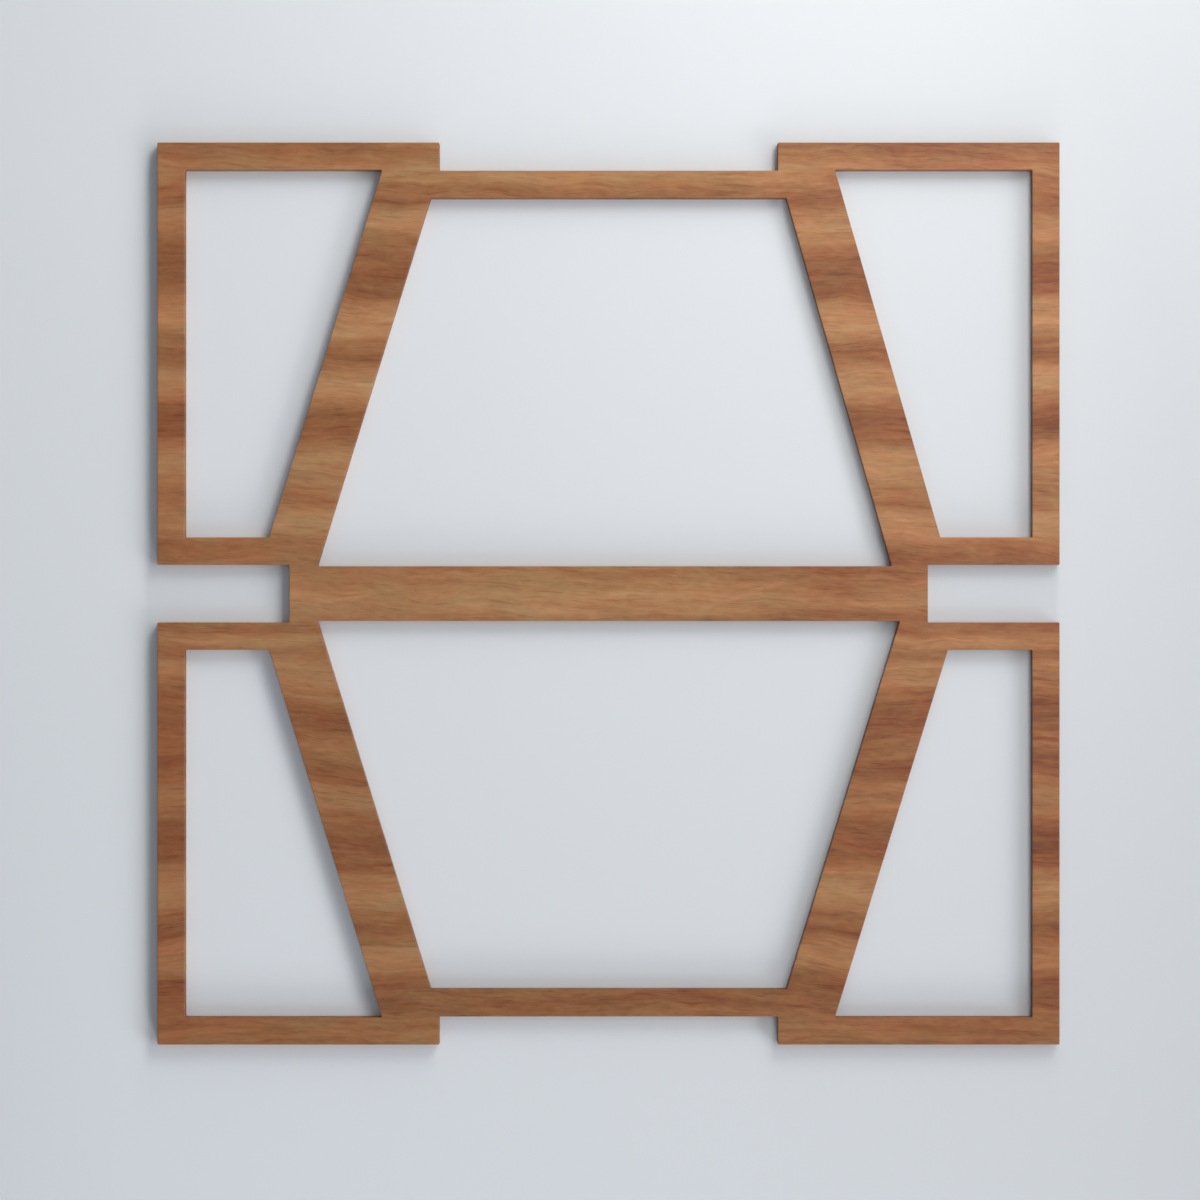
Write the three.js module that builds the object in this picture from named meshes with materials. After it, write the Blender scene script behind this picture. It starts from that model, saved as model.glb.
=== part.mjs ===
// A square fretwork wall panel, cut in one piece from a sheet of hardwood.
// Millimetres, +Z up, front towards -Y. The origin is the middle of the back face, which lies on the wall.

import * as THREE from "three";

// The sheet.
const panelWidth = 593.7;
const panelHeight = 593.7;
const panelThickness = 6.35;
const easedEdge = 0.4; // every edge is sanded round by this much, front and back
const easingSteps = 3;

// Four side frames, one in each corner: a stile, a rail along the panel's edge and a rail beside the side gap.
const stileWidth = 18;
const outerRailWidth = 18;
const innerRailWidth = 18;
const sideGap = 38; // between the upper and the lower frame
const sideOpeningWidth = 129.8; // where it is widest, along the outer rail

// Four diagonals spread out from the outer rails towards the middle.
const diagonalWidth = 36; // square to its edges
const lean = 17.1; // degrees from upright
const upperRightLean = 16; // this one stands a little steeper than the other three

// The rail across the middle, and the end rails below the top notch and above the bottom notch.
const centreRailHeight = 36;
const endRailWidth = 18;
const notchDepth = 18.5;

// Heights and distances from the middle, the same up and down, left and right.
const edgeX = panelWidth / 2;
const edgeZ = panelHeight / 2;
const stileFace = edgeX - stileWidth;
const outerRailFace = edgeZ - outerRailWidth;
const gapEdge = sideGap / 2;
const innerRailFace = gapEdge + innerRailWidth;
const notchFloor = edgeZ - notchDepth;
const endRailFace = notchFloor - endRailWidth;
const centreRailFace = centreRailHeight / 2;

// A diagonal's outer edge starts where the side opening ends, and moves out as it nears the middle.
function diagonalOuterX(z, degrees) {
  const slope = Math.tan(THREE.MathUtils.degToRad(degrees));
  return stileFace - sideOpeningWidth + (outerRailFace - z) * slope;
}

function diagonalInnerX(z, degrees) {
  return diagonalOuterX(z, degrees) - diagonalWidth / Math.cos(THREE.MathUtils.degToRad(degrees));
}

// The notches end where the diagonals' inner edges reach the outer rails, and the centre rail ends halfway
// across the feet of the diagonals.
const notchSide = diagonalInnerX(outerRailFace, lean);
const centreRailEnd = (diagonalInnerX(gapEdge, lean) + diagonalOuterX(gapEdge, lean)) / 2;

// One corner of the outline, from the centre rail's end round to the notch. Signs choose the corner.
function outlineCorner(signX, signZ) {
  const points = [
    [centreRailEnd, gapEdge],
    [edgeX, gapEdge],
    [edgeX, edgeZ],
    [notchSide, edgeZ],
    [notchSide, notchFloor],
  ];
  return points.map(([x, z]) => new THREE.Vector2(signX * x, signZ * z));
}

// Counter-clockwise seen from the front.
function outline() {
  return new THREE.Shape([
    ...outlineCorner(1, 1),
    ...outlineCorner(-1, 1).reverse(),
    ...outlineCorner(-1, -1),
    ...outlineCorner(1, -1).reverse(),
  ]);
}

// The opening of a side frame, between its stile, its two rails and the diagonal.
function sideOpening(signX, signZ, degrees) {
  const points = [
    [stileFace, innerRailFace],
    [stileFace, outerRailFace],
    [diagonalOuterX(outerRailFace, degrees), outerRailFace],
    [diagonalOuterX(innerRailFace, degrees), innerRailFace],
  ];
  return new THREE.Path(points.map(([x, z]) => new THREE.Vector2(signX * x, signZ * z)));
}

// The wide opening between two diagonals, from the centre rail to an end rail.
function middleOpening(signZ, leftDegrees, rightDegrees) {
  return new THREE.Path([
    new THREE.Vector2(-diagonalInnerX(centreRailFace, leftDegrees), signZ * centreRailFace),
    new THREE.Vector2(diagonalInnerX(centreRailFace, rightDegrees), signZ * centreRailFace),
    new THREE.Vector2(diagonalInnerX(endRailFace, rightDegrees), signZ * endRailFace),
    new THREE.Vector2(-diagonalInnerX(endRailFace, leftDegrees), signZ * endRailFace),
  ]);
}

function fretwork() {
  const shape = outline();
  shape.holes.push(
    sideOpening(-1, 1, lean),
    sideOpening(1, 1, upperRightLean),
    sideOpening(-1, -1, lean),
    sideOpening(1, -1, lean),
    middleOpening(1, lean, upperRightLean),
    middleOpening(-1, lean, lean),
  );
  return new THREE.ExtrudeGeometry(shape, {
    depth: panelThickness - 2 * easedEdge,
    bevelThickness: easedEdge,
    bevelSize: easedEdge,
    bevelOffset: -easedEdge,
    bevelSegments: easingSteps,
  });
}

const hardwood = new THREE.MeshStandardMaterial({ color: "#9c6a45", roughness: 0.55, metalness: 0 });

const panel = new THREE.Mesh(fretwork(), hardwood);
panel.name = "fretwork_panel";
panel.rotation.x = Math.PI / 2;
panel.position.y = -easedEdge; // the back face comes to y = 0

const grille = new THREE.Group();
grille.add(panel);

export default grille;
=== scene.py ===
import math

import bpy
import numpy as np
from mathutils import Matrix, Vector
from mathutils.geometry import tessellate_polygon


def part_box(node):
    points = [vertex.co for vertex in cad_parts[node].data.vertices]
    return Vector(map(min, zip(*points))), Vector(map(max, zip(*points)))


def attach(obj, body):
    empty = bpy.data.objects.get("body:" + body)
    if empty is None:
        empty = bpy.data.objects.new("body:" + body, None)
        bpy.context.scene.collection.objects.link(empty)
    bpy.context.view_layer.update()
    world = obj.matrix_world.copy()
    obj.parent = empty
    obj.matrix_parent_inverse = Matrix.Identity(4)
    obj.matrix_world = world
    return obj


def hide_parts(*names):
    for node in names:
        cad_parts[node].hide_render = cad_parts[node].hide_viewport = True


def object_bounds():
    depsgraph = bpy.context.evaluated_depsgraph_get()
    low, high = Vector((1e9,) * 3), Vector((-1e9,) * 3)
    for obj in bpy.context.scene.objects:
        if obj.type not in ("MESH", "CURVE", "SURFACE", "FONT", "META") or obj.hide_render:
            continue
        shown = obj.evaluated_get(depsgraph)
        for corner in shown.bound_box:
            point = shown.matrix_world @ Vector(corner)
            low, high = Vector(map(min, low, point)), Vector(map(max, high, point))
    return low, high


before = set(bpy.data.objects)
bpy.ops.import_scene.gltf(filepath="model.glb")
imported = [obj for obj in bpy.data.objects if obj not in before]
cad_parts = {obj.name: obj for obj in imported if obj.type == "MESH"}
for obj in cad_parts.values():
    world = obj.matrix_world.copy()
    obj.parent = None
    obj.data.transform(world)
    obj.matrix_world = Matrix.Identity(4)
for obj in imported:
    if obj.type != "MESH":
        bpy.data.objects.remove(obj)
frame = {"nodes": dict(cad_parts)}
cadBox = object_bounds()
scene = bpy.context.scene
mm = 0.001
print("frame loaded:", ", ".join(frame["nodes"]))


# camera, straight in front of the panel
cameraPlan = {
    "distance": 1.6,  # from the front face
    "pictureWidth": 0.7896,  # what the picture takes in at the front face
    "panelRight": 5.6 * mm,  # the panel's middle lies this far right of the picture's middle
    "panelUp": 4.2 * mm,  # and this far above it
    "sensor": 36,  # millimetres
}


def makeCamera(plan):
    frontFace = cadBox[0].y
    data = bpy.data.cameras.new("camera")
    data.sensor_width = plan["sensor"]
    data.lens = plan["sensor"] * plan["distance"] / plan["pictureWidth"]
    camera = bpy.data.objects.new("camera", data)
    camera.location = (-plan["panelRight"], frontFace - plan["distance"], -plan["panelUp"])
    camera.rotation_euler = (math.radians(90), 0, 0)  # level, looking along +Y
    scene.collection.objects.link(camera)
    scene.camera = camera


makeCamera(cameraPlan)
print("camera ready")


# the panel's sizes, as the sheet is cut
panelPlan = {
    "stile": 18 * mm,
    "outerRail": 18 * mm,
    "innerRail": 18 * mm,
    "sideGap": 38 * mm,
    "sideOpening": 129.8 * mm,
    "diagonal": 36 * mm,
    "lean": 17.1,  # degrees from upright
    "upperRightLean": 16,  # one diagonal is a little steeper than the other three
    "centreRail": 36 * mm,
    "endRail": 18 * mm,
    "notchDepth": 18.5 * mm,
    "easedEdge": 0.45 * mm,
    "easingDrift": 0.25,  # share by which the hand-sanded edge comes and goes
    "easingWaves": (3, 7, 13),  # and how often it does so on the way round
    "cornerRadius": 0.7 * mm,
    "cornerSteps": 5,
    "easingSteps": 5,
    "wallSteps": 3,
    "stationStep": 6 * mm,  # between cross-sections along a straight stretch
    "stationGap": 0.75 * mm,  # the least between these and a corner's own
}


def panelRings(plan):
    # Corner points of the outline and of the six openings, from the bar widths and the leans. Every ring
    # keeps the wood on its left: the outline runs counter-clockwise and the openings clockwise.
    low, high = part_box("fretwork_panel")
    edgeX, edgeZ = (high.x - low.x) / 2, (high.z - low.z) / 2
    stileFace = edgeX - plan["stile"]
    outerFace = edgeZ - plan["outerRail"]
    gapEdge = plan["sideGap"] / 2
    innerFace = gapEdge + plan["innerRail"]
    notchFloor = edgeZ - plan["notchDepth"]
    endFace = notchFloor - plan["endRail"]
    centreFace = plan["centreRail"] / 2

    def outerX(z, lean):
        return stileFace - plan["sideOpening"] + (outerFace - z) * math.tan(math.radians(lean))

    def innerX(z, lean):
        return outerX(z, lean) - plan["diagonal"] / math.cos(math.radians(lean))

    lean, steep = plan["lean"], plan["upperRightLean"]
    notchSide = innerX(outerFace, lean)
    railEnd = (innerX(gapEdge, lean) + outerX(gapEdge, lean)) / 2
    corner = np.array([
        [railEnd, gapEdge],
        [edgeX, gapEdge],
        [edgeX, edgeZ],
        [notchSide, edgeZ],
        [notchSide, notchFloor],
    ])
    outline = np.concatenate([
        corner,
        (corner * [-1, 1])[::-1],
        corner * [-1, -1],
        (corner * [1, -1])[::-1],
    ])

    def sideOpening(signX, signZ, angle):
        ring = np.array([
            [stileFace, innerFace],
            [outerX(innerFace, angle), innerFace],
            [outerX(outerFace, angle), outerFace],
            [stileFace, outerFace],
        ]) * [signX, signZ]
        return ring[::signX * signZ]

    def middleOpening(signZ, left, right):
        ring = np.array([
            [-innerX(centreFace, left), centreFace],
            [-innerX(endFace, left), endFace],
            [innerX(endFace, right), endFace],
            [innerX(centreFace, right), centreFace],
        ]) * [1, signZ]
        return ring[::signZ]

    return [
        outline,
        sideOpening(-1, 1, lean),
        sideOpening(1, 1, steep),
        sideOpening(-1, -1, lean),
        sideOpening(1, -1, lean),
        middleOpening(1, lean, steep),
        middleOpening(-1, lean, lean),
    ]


def roundedPath(ring, plan):
    # Each corner becomes an arc tangent to both its sides: centre = corner - inward * L - outward * side *
    # radius, with L = radius * tan(turn / 2), and side 1 for a left turn and -1 for a right one. Straight
    # stretches get a station at every step of length. Returns the stations, the outward normal at each, and
    # the length travelled as a share of the whole ring.
    inward = ring - np.roll(ring, 1, axis=0)
    inward /= np.linalg.norm(inward, axis=1, keepdims=True)
    onward = np.roll(inward, -1, axis=0)
    turn = np.arctan2(inward[:, 0] * onward[:, 1] - inward[:, 1] * onward[:, 0], (inward * onward).sum(1))
    side = np.sign(turn)[:, None]
    outward = np.stack([inward[:, 1], -inward[:, 0]], axis=1)
    setBack = plan["cornerRadius"] * np.tan(np.abs(turn) / 2)[:, None]
    centre = ring - inward * setBack - outward * side * plan["cornerRadius"]
    share = np.linspace(0, 1, plan["cornerSteps"] + 1)
    angle = np.arctan2(outward[:, 1], outward[:, 0])[:, None] + turn[:, None] * share
    normal = np.stack([np.cos(angle), np.sin(angle)], axis=2)
    place = centre[:, None] + normal * side[:, None] * plan["cornerRadius"]
    place, normal = place.reshape(-1, 2), normal.reshape(-1, 2)

    closed = np.vstack([place, place[:1]])
    closedNormal = np.vstack([normal, normal[:1]])
    travelled = np.concatenate([[0], np.cumsum(np.linalg.norm(np.diff(closed, axis=0), axis=1))])
    extra = np.arange(0, travelled[-1], plan["stationStep"])
    gap = np.abs(extra[:, None] - travelled).min(axis=1)
    stations = np.sort(np.concatenate([travelled[:-1], extra[gap > plan["stationGap"]]]))
    path = np.stack([np.interp(stations, travelled, closed[:, k]) for k in range(2)], axis=1)
    facing = np.stack([np.interp(stations, travelled, closedNormal[:, k]) for k in range(2)], axis=1)
    facing /= np.linalg.norm(facing, axis=1, keepdims=True)
    return path, facing, stations / travelled[-1]


def edgeProfile(plan, thickness):
    # From the front face over the eased edge, down the cut edge and round to the back face. For each row: its
    # inset and its rise from the front or the back face in easing radii, the depth that the rise starts
    # from, and the parts of its normal square to the cut edge and along Y.
    tilt = np.linspace(0, math.pi / 2, plan["easingSteps"] + 1)
    inset = 1 - np.sin(tilt)
    rise = 1 - np.cos(tilt)
    between = np.linspace(0, 1, plan["wallSteps"] + 1)[1:-1]
    return {
        "inset": np.concatenate([inset, 0 * between, inset[::-1]]),
        "frontRise": np.concatenate([rise, 1 - between, 0 * rise]),
        "backRise": np.concatenate([0 * rise, between, rise[::-1]]),
        "depth": np.concatenate([np.full(rise.size, -1.0), between - 1, np.zeros(rise.size)]) * thickness,
        "out": np.concatenate([np.sin(tilt), np.ones(between.size), np.sin(tilt)[::-1]]),
        "along": np.concatenate([-np.cos(tilt), 0 * between, np.cos(tilt)[::-1]]),
    }


def easingRadius(share, plan, seed):
    # The easing radius drifts along a ring as three slow waves that close on themselves.
    waves = np.array(plan["easingWaves"]) + seed
    drift = np.sin(2 * math.pi * np.outer(share, waves) + waves).mean(axis=1)
    return plan["easedEdge"] * (1 + plan["easingDrift"] * drift)


def sweptEdge(ring, plan, thickness, seed):
    # The profile carried along the ring: place = station - normal * inset * radius, and
    # height = depth + (front rise - back rise) * radius. Rows of the grid follow the profile.
    path, facing, share = roundedPath(ring, plan)
    profile = edgeProfile(plan, thickness)
    radius = easingRadius(share, plan, seed)[:, None]
    flat = path[:, None] - facing[:, None] * (profile["inset"] * radius)[:, :, None]
    height = profile["depth"] + (profile["frontRise"] - profile["backRise"]) * radius
    place = np.stack([flat[:, :, 0], height, flat[:, :, 1]], axis=2)
    normal = np.stack([
        facing[:, :1] * profile["out"],
        np.broadcast_to(profile["along"], height.shape),
        facing[:, 1:] * profile["out"],
    ], axis=2)
    return place, normal


def gridFaces(stations, rows, first):
    # Quads between neighbouring stations and rows. The last station joins the first.
    here = np.arange(stations)[:, None] * rows + np.arange(rows - 1)
    there = np.roll(np.arange(stations), -1)[:, None] * rows + np.arange(rows - 1)
    return first + np.stack([here, here + 1, there + 1, there], axis=2).reshape(-1, 4)


def flatFaces(loops, indices):
    # Triangles that fill the region between the outline loop and the opening loops.
    corners = np.concatenate(indices)
    triangles = tessellate_polygon([[Vector((x, z, 0)) for x, _, z in loop] for loop in loops])
    return corners[np.array(triangles)]


def facingAlong(triangles, places, sign):
    # Turns each triangle so that its normal points to sign * Y.
    a, b, c = (places[triangles[:, k]] for k in range(3))
    turned = np.cross(b - a, c - a)[:, 1] * sign < 0
    triangles[turned] = triangles[turned][:, ::-1]
    return triangles


def makePanel(plan):
    # A swept edge for each ring, joined by a flat front and a flat back. Also gives the rings where the flat
    # back meets the eased edges.
    low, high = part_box("fretwork_panel")
    thickness = high.y - low.y
    places, normals, quads, fronts, backs = [], [], [], [], []
    first = 0
    for seed, ring in enumerate(panelRings(plan)):
        place, normal = sweptEdge(ring, plan, thickness, seed)
        stations, rows = place.shape[:2]
        places.append(place.reshape(-1, 3))
        normals.append(normal.reshape(-1, 3))
        quads.append(gridFaces(stations, rows, first))
        fronts.append((place[:, 0], first + np.arange(stations) * rows))
        backs.append((place[:, -1], first + np.arange(stations) * rows + rows - 1))
        first += stations * rows
    places, normals, quads = np.concatenate(places), np.concatenate(normals), np.concatenate(quads)
    front = facingAlong(flatFaces(*zip(*fronts)), places, -1)
    back = facingAlong(flatFaces(*zip(*backs)), places, 1)

    mesh = bpy.data.meshes.new("fretwork")
    mesh.from_pydata(places.tolist(), [], quads.tolist() + front.tolist() + back.tolist())
    mesh.polygons.foreach_set("use_smooth", np.ones(len(mesh.polygons), bool))
    cut = mesh.attributes.new("cutEdge", "FLOAT", "POINT")
    cut.data.foreach_set("value", np.hypot(normals[:, 0], normals[:, 2]).astype(np.float32))
    end = mesh.attributes.new("endGrain", "FLOAT", "POINT")
    end.data.foreach_set("value", np.abs(normals[:, 0]).astype(np.float32))
    mesh.normals_split_custom_set_from_vertices(normals.tolist())
    mesh.update()
    piece = bpy.data.objects.new("fretwork", mesh)
    scene.collection.objects.link(piece)
    return piece, [places[loop] for _, loop in backs]


panel, contactLoops = makePanel(panelPlan)
print("panel built:", len(panel.data.vertices), "vertices")


def nodeIn(tree, kind, settings=None, **inputs):
    # Adds a node, sets its properties, and sets or links its inputs by name. A name's underscores stand for
    # spaces, and input0, input1 and so on count the inputs.
    made = tree.nodes.new("ShaderNode" + kind)
    for key, value in (settings or {}).items():
        setattr(made, key, value)
    for key, value in inputs.items():
        if key.startswith("input"):
            socket = made.inputs[int(key.removeprefix("input"))]
        else:
            socket = made.inputs[key.replace("_", " ")]
        if isinstance(value, bpy.types.NodeSocket):
            tree.links.new(value, socket)
        else:
            socket.default_value = value
    return made


def maths(tree, operation, *values):
    inputs = {f"input{k}": value for k, value in enumerate(values)}
    return nodeIn(tree, "Math", {"operation": operation}, **inputs).outputs[0]


def newMaterial(name):
    material = bpy.data.materials.new(name)
    material.use_nodes = True
    material.node_tree.nodes.clear()
    return material, material.node_tree


# hardwood, grain along X
woodPlan = {
    # light and dark bands of the figure: millimetres down from the top edge, then -1 dark to 1 light
    "bands": [
        (-10, -0.2), (4, -0.45), (18, 0.3), (38, -0.65), (51, 0.55), (66, -0.45), (89, -0.95), (116, 1.0),
        (141, -0.55), (158, 1.0), (184, -0.95), (211, 0.8), (238, 0.0), (251, 1.0), (270, -0.4), (303, 0.75),
        (318, -0.2), (327, 0.7), (335, -0.05), (345, 0.75), (378, -0.7), (398, 0.0), (412, -0.7), (428, 0.35),
        (462, -0.85), (495, 0.9), (518, -0.5), (536, 0.9), (556, -0.7), (572, -0.4), (588, 0.0), (604, -0.3),
    ],
    "figureShare": 0.54,  # how far apart the bands' tones are
    "middleTone": 0.495,
    "drift": (-0.34, 0.16),  # painted light: change of tone for a metre to the right, darkening the wood where the lamps are strongest, and for a metre up
    # how the grain wanders: length and height of the waves, and how far they move it
    "waves": [(220 * mm, 90 * mm, 20 * mm), (48 * mm, 26 * mm, 9 * mm), (15 * mm, 9 * mm, 1.6 * mm)],
    # clouds: how far right of and above the middle, half length, half height, how much they lighten or darken
    "clouds": [
        (150 * mm, 4 * mm, 95 * mm, 50 * mm, -0.18),
        (215 * mm, 292 * mm, 90 * mm, 25 * mm, -0.15),
        (-250 * mm, -15 * mm, 70 * mm, 60 * mm, 0.12),
    ],
    "slant": 0.035,  # the grain falls by this share of its length to the right
    # streaks: length along the grain, height, and how much they lighten or darken
    "streaks": [
        (110 * mm, 7 * mm, 0.46),
        (30 * mm, 3 * mm, 0.42),
        (8 * mm, 2.4 * mm, 0.32),
        (20 * mm, 0.8 * mm, 0.06),
    ],
    "dashes": (24 * mm, 1.0 * mm, 0.15),  # dark ones, the same way
    "pores": (5 * mm, 0.3 * mm, 0.1),  # as the dashes
    "throughSheet": 4,  # marks run this many times their height into the sheet
    "markStart": -0.08,  # noise at which a dash or pore begins
    "markFull": -0.2,  # and at which it is darkest
    # colours of the wood from its darkest to its lightest tone
    "tones": [
        (0.00, (0.173, 0.045, 0.010, 1)),
        (0.25, (0.273, 0.098, 0.031, 1)),
        (0.50, (0.373, 0.164, 0.061, 1)),
        (0.75, (0.473, 0.240, 0.101, 1)),
        (1.00, (0.573, 0.327, 0.148, 1)),
    ],
    "redPatch": (45 * mm, 12 * mm, 3.2),  # redder patches: length, height, how sharply they stand out
    "redTone": (1.09, 0.94, 0.92, 1),  # their tint
    "goldenMiddle": (60 * mm, 220 * mm),  # the wood is more golden this near the middle, and not beyond here
    "goldenTone": (1, 1.09, 1.09, 1),
    "redSide": (-262 * mm, -284 * mm),  # redder wood at the left: from here on, and fully here
    "redSideTone": (1, 0.90, 0.87, 1),
    "cutTone": (0.58, 0.52, 0.48, 1),  # tint of the sawn edges
    "endTone": (0.72, 0.70, 0.70, 1),  # and of end grain beyond that
    "sawnFrom": 0.35,  # an eased edge looks sawn from here on: 0 is the face and 1 the cut edge
    "roughness": (0.46, 0.56),  # light wood, dark wood
    "specular": 0.5,
    "relief": 0.05 * mm,
    "reliefStrength": 0.5,
}


def stretched(tree, plan, point, length, height, detail=1):
    # Noise about 0, with features of the given length along X and the given height.
    scale = (1 / length, 1 / (plan["throughSheet"] * height), 1 / height)
    scaled = nodeIn(tree, "VectorMath", {"operation": "MULTIPLY"}, input0=point, input1=scale)
    noise = nodeIn(tree, "TexNoise", Vector=scaled.outputs[0], Scale=1, Detail=detail).outputs[0]
    return maths(tree, "SUBTRACT", noise, 0.5)


def wanderingGrain(tree, plan, place, axes):
    # The grain rises and falls along its length: height = Z + the sum of each wave's noise times its move.
    # Streaks are read at that height too, on a slant.
    x, y, height = (axes.outputs[axis] for axis in "XYZ")
    for length, tall, move in plan["waves"]:
        height = maths(tree, "MULTIPLY_ADD", stretched(tree, plan, place, length, tall), move, height)
    slanted = maths(tree, "MULTIPLY_ADD", x, plan["slant"], height)
    return height, nodeIn(tree, "CombineXYZ", X=x, Y=y, Z=slanted).outputs[0]


def broadFigure(tree, plan, height):
    # The bands as one smooth curve over the height, from -0.5 where darkest to 0.5 where lightest.
    bands = np.array(plan["bands"])
    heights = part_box("fretwork_panel")[1].z - bands[:, 0] * mm
    shares = (heights[0] - heights) / (heights[0] - heights[-1])
    levels = 0.5 + bands[:, 1] / 2
    along = nodeIn(tree, "MapRange", input0=height, input1=heights[0], input2=heights[-1]).outputs[0]
    curve = nodeIn(tree, "FloatCurve", Value=along)
    points = curve.mapping.curves[0].points
    points[0].location = (0, levels[0])
    points[-1].location = (1, levels[-1])
    for share, level in zip(shares[1:-1], levels[1:-1]):
        points.new(share, level)
    curve.mapping.update()
    return maths(tree, "SUBTRACT", curve.outputs[0], 0.5)


def softCloud(tree, point, right, up, long, tall):
    # An ellipse, 1 in its middle and fading to 0 at its rim.
    centring = {"operation": "MULTIPLY_ADD"}
    scale, shift = (1 / long, 0, 1 / tall), (-right / long, 0, -up / tall)
    centred = nodeIn(tree, "VectorMath", centring, input0=point, input1=scale, input2=shift)
    fading = nodeIn(tree, "TexGradient", {"gradient_type": "SPHERICAL"}, Vector=centred.outputs[0])
    return fading.outputs["Fac"]


def darkMarks(tree, plan, grain, tone, length, tall, share):
    # Only the deepest valleys of the noise darken the tone. The second result is how deep they are.
    noise = stretched(tree, plan, grain, length, tall)
    start, full = plan["markStart"], plan["markFull"]
    depth = nodeIn(tree, "MapRange", input0=noise, input1=start, input2=full).outputs[0]
    return maths(tree, "MULTIPLY_ADD", depth, -share, tone), depth


def woodTone(tree, plan, place, axes):
    # 0 is dark and 1 is light: the broad figure, a drift over the panel that is painted light, the clouds,
    #                           then
    # the streaks, dark dashes and pores along the grain. Also gives the pores, and the point at which the
    # grain is read.
    height, grain = wanderingGrain(tree, plan, place, axes)
    figure = broadFigure(tree, plan, height)
    tone = maths(tree, "MULTIPLY_ADD", figure, plan["figureShare"], plan["middleTone"])
    # painted light: the steady drift, darker to the right where the lamps give more light
    for axis, change in zip("XZ", plan["drift"]):
        tone = maths(tree, "MULTIPLY_ADD", axes.outputs[axis], change, tone)
    for *ellipse, change in plan["clouds"]:
        tone = maths(tree, "MULTIPLY_ADD", softCloud(tree, grain, *ellipse), change, tone)
    for length, tall, share in plan["streaks"]:
        streak = stretched(tree, plan, grain, length, tall, detail=2)
        tone = maths(tree, "MULTIPLY_ADD", streak, share, tone)
    tone, _ = darkMarks(tree, plan, grain, tone, *plan["dashes"])
    tone, pores = darkMarks(tree, plan, grain, tone, *plan["pores"])
    return tone, pores, grain


def tinted(tree, colour, amount, tint):
    # A Mix node has its colours at inputs 6 and 7 and its mixed colour at output 2.
    mixing = {"data_type": "RGBA", "blend_type": "MULTIPLY"}
    return nodeIn(tree, "Mix", mixing, input0=amount, input6=colour, input7=tint).outputs[2]


def smoothStep(tree, value, none, full):
    # Goes smoothly from 0, where the value is none, to 1, where it is full.
    smoothly = {"interpolation_type": "SMOOTHSTEP"}
    return nodeIn(tree, "MapRange", smoothly, input0=value, input1=none, input2=full).outputs[0]


def woodColour(tree, plan, tone, grain, axes):
    # The colour of the tone, tinted where the wood is redder, more golden or cut.
    ramp = nodeIn(tree, "ValToRGB", Fac=tone)
    stops = ramp.color_ramp.elements
    stops[0].color = plan["tones"][0][1]
    stops[1].color = plan["tones"][-1][1]
    for position, shade in plan["tones"][1:-1]:
        stops.new(position).color = shade

    # redder patches, the golden middle and the redder side
    long, tall, sharpness = plan["redPatch"]
    patches = maths(tree, "MULTIPLY_ADD", stretched(tree, plan, grain, long, tall), sharpness, 0.5)
    colour = tinted(tree, ramp.outputs[0], nodeIn(tree, "Clamp", Value=patches).outputs[0], plan["redTone"])
    full, none = plan["goldenMiddle"]
    away = maths(tree, "ABSOLUTE", axes.outputs["X"])
    colour = tinted(tree, colour, smoothStep(tree, away, none, full), plan["goldenTone"])
    leftwards = smoothStep(tree, axes.outputs["X"], *plan["redSide"])
    colour = tinted(tree, colour, leftwards, plan["redSideTone"])

    # sawn edges and end grain
    cut = nodeIn(tree, "Attribute", {"attribute_name": "cutEdge"}).outputs["Fac"]
    end = nodeIn(tree, "Attribute", {"attribute_name": "endGrain"}).outputs["Fac"]
    sawn = smoothStep(tree, cut, plan["sawnFrom"], 1)
    colour = tinted(tree, colour, sawn, plan["cutTone"])
    return tinted(tree, colour, maths(tree, "MULTIPLY", sawn, end), plan["endTone"])


def hardwood(plan):
    material, tree = newMaterial("hardwood")
    place = nodeIn(tree, "TexCoord").outputs["Object"]
    axes = nodeIn(tree, "SeparateXYZ", Vector=place)
    tone, pores, grain = woodTone(tree, plan, place, axes)
    colour = woodColour(tree, plan, tone, grain, axes)
    smooth, rough = plan["roughness"]
    gloss = nodeIn(tree, "MapRange", input0=tone, input1=1, input2=0, input3=smooth, input4=rough)
    depth = {"Strength": plan["reliefStrength"], "Distance": plan["relief"]}
    bump = nodeIn(tree, "Bump", Height=maths(tree, "SUBTRACT", tone, pores), **depth).outputs[0]
    finish = {"Roughness": gloss.outputs[0], "Specular_IOR_Level": plan["specular"]}
    surface = nodeIn(tree, "BsdfPrincipled", Base_Color=colour, Normal=bump, **finish)
    nodeIn(tree, "OutputMaterial", Surface=surface.outputs[0])
    return material


panel.data.materials.append(hardwood(woodPlan))
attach(panel, "root")
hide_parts("fretwork_panel")
print("panel finished")


# the wall it lies on and the floor below, neither part of the object
stagePlan = {
    "wallHalfWidth": 2.2,
    "wallTop": 1.6,
    "floorHeight": -2.0,
    "floorHalfWidth": 4.0,
    "wallColour": (0.820, 0.833, 0.851),
    # painted light: the paint is lighter at the left and further down, making up for light the lamps don't
    # give there:
    # from X, to X, factor there and here, and how far to the right a metre up counts as
    "paintedWallLight": (-0.4, 0.4, 1.20, 0.82, 0.2),
    "floorColour": (0.76, 0.76, 0.75, 1),
    "roughness": 0.9,
}


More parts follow.
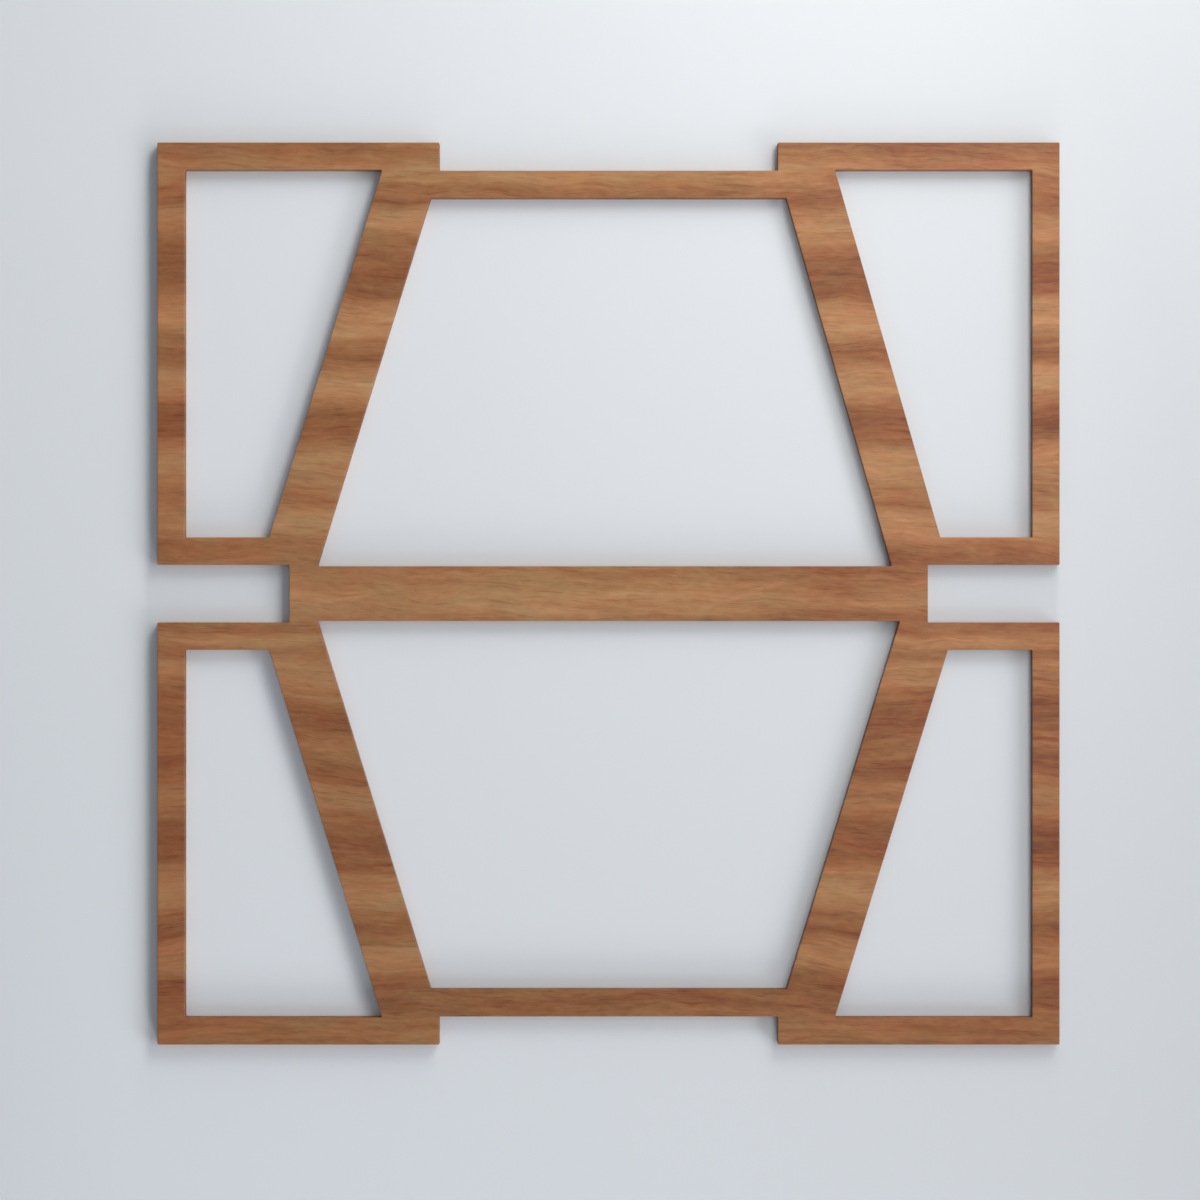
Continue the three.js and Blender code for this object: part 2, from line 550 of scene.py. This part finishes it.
def wallPaint(plan):
    # The colour times a factor that changes steadily across the wall: painted light, lighter at the left and
    # lower down. Clear from behind.
    material, tree = newMaterial("wall")
    start, end, first, last, rise = plan["paintedWallLight"]
    place = nodeIn(tree, "SeparateXYZ", Vector=nodeIn(tree, "TexCoord").outputs["Object"])
    # painted light: this factor lightens the paint at the left and lower down
    across = maths(tree, "MULTIPLY_ADD", place.outputs["Z"], rise, place.outputs["X"])
    factor = nodeIn(tree, "MapRange", input0=across, input1=start, input2=end, input3=first, input4=last)
    scaling = {"operation": "SCALE"}
    faded = nodeIn(tree, "VectorMath", scaling, input0=plan["wallColour"], Scale=factor.outputs[0])
    paint = nodeIn(tree, "BsdfPrincipled", Base_Color=faded.outputs[0], Roughness=plan["roughness"])
    behind = nodeIn(tree, "NewGeometry").outputs["Backfacing"]
    clear = nodeIn(tree, "BsdfTransparent").outputs[0]
    surface = nodeIn(tree, "MixShader", input0=behind, input1=paint.outputs[0], input2=clear)
    nodeIn(tree, "OutputMaterial", Surface=surface.outputs[0])
    return material


def floorPaint(plan):
    material, tree = newMaterial("floor")
    paint = nodeIn(tree, "BsdfPrincipled", Base_Color=plan["floorColour"], Roughness=plan["roughness"])
    nodeIn(tree, "OutputMaterial", Surface=paint.outputs[0])
    return material


def flatStage(name, loops, material):
    # A flat sheet with openings, as triangles between closed loops, that faces -Y or up.
    places = np.concatenate(loops)
    triangles = np.array(tessellate_polygon([[Vector(p) for p in loop] for loop in loops]))
    a, b, c = (places[triangles[:, k]] for k in range(3))
    turned = np.cross(b - a, c - a) @ [0, -1, 1] < 0
    triangles[turned] = triangles[turned][:, ::-1]
    mesh = bpy.data.meshes.new(name)
    mesh.from_pydata(places.tolist(), [], triangles.tolist())
    mesh.materials.append(material)
    sheet = bpy.data.objects.new(name, mesh)
    scene.collection.objects.link(sheet)
    return sheet


def makeStage(plan, loops):
    # The wall is left out behind the wood itself, so that the panel's back is seen from behind.
    half, top, low = plan["wallHalfWidth"], plan["wallTop"], plan["floorHeight"]
    rectangle = np.array([[-half, 0, low], [half, 0, low], [half, 0, top], [-half, 0, top]])
    paint = wallPaint(plan)
    flatStage("wall", [rectangle, loops[0]], paint)
    for number, loop in enumerate(loops[1:]):
        flatStage(f"wallInOpening{number}", [loop], paint)
    half = plan["floorHalfWidth"]
    square = np.array([[-half, -half, low], [half, -half, low], [half, half, low], [-half, half, low]])
    floor = flatStage("floor", [square], floorPaint(plan))
    floor.visible_diffuse = False  # its brightness doesn't colour the wall


makeStage(stagePlan, contactLoops)
print("stage ready")


# soft studio light: a key softbox on the upper right, a narrow one close in front, three more on the right,
# a small card below, one for the back and one for the floor. Metres and watts. Each points at the middle of
# the panel's back, unless it has an aim of its own.
lightPlan = {
    "key": {"place": (0.33, -0.47, 1.07), "width": 0.29, "height": 1.04, "power": 7.25, "tint": "warm"},
    "near": {"place": (0.34, -0.50, 0.22), "width": 0.22, "height": 0.95, "power": 1.0, "tint": "warm"},
    "high": {"place": (1.65, -1.16, 2.10), "width": 0.55, "height": 1.30, "power": 17.5, "tint": "warm"},
    "side": {"place": (2.60, -1.30, 0.00), "width": 0.95, "height": 1.40, "power": 13.5, "tint": "cool"},
    "low": {"place": (2.60, -0.90, -1.90), "width": 0.80, "height": 1.50, "power": 59, "tint": "cool"},
    "card": {"place": (0.32, -0.40, -1.85), "width": 0.20, "height": 0.45, "power": 13, "tint": "cool"},
    "backFill": {"place": (-2.4, 3.4, 2.2), "width": 2.5, "height": 2.5, "power": 160, "tint": "warm"},
    "floorFill": {
        "place": (0, 0, -1.0), "width": 7.5, "height": 7.5, "power": 75, "tint": "warm", "aim": (0, 0, -2),
    },
}
lampTints = {"warm": (1.0, 1.0, 0.98), "cool": (0.965, 1.0, 1.045)}
worldPlan = {
    "colour": (0.84, 0.9, 0.98, 1),
    "strength": 0.25,
    "backdrop": 0.85,  # how bright it is as a background
}


def makeLights(plan, tints, sky):
    for name, light in plan.items():
        data = bpy.data.lights.new(name, "AREA")
        data.shape = "RECTANGLE"
        data.size = light["width"]
        data.size_y = light["height"]
        data.energy = light["power"]
        data.color = tints[light["tint"]]
        lamp = bpy.data.objects.new(name, data)
        lamp.location = light["place"]
        lamp.visible_camera = False
        aim = Vector(light.get("aim", (0, 0, 0)))
        lamp.rotation_euler = (aim - lamp.location).to_track_quat("-Z", "Y").to_euler()
        scene.collection.objects.link(lamp)
    world = bpy.data.worlds.new("studio")
    world.use_nodes = True
    tree = world.node_tree
    tree.nodes.clear()
    seen = nodeIn(tree, "LightPath").outputs["Is Camera Ray"]
    glow = nodeIn(tree, "Background", Color=sky["colour"], Strength=sky["strength"]).outputs[0]
    backdrop = nodeIn(tree, "Background", Color=sky["colour"], Strength=sky["backdrop"]).outputs[0]
    shown = nodeIn(tree, "MixShader", input0=seen, input1=glow, input2=backdrop).outputs[0]
    nodeIn(tree, "OutputWorld", Surface=shown)
    scene.world = world


makeLights(lightPlan, lampTints, worldPlan)
scene.view_settings.view_transform = "Standard"
print("lights ready")
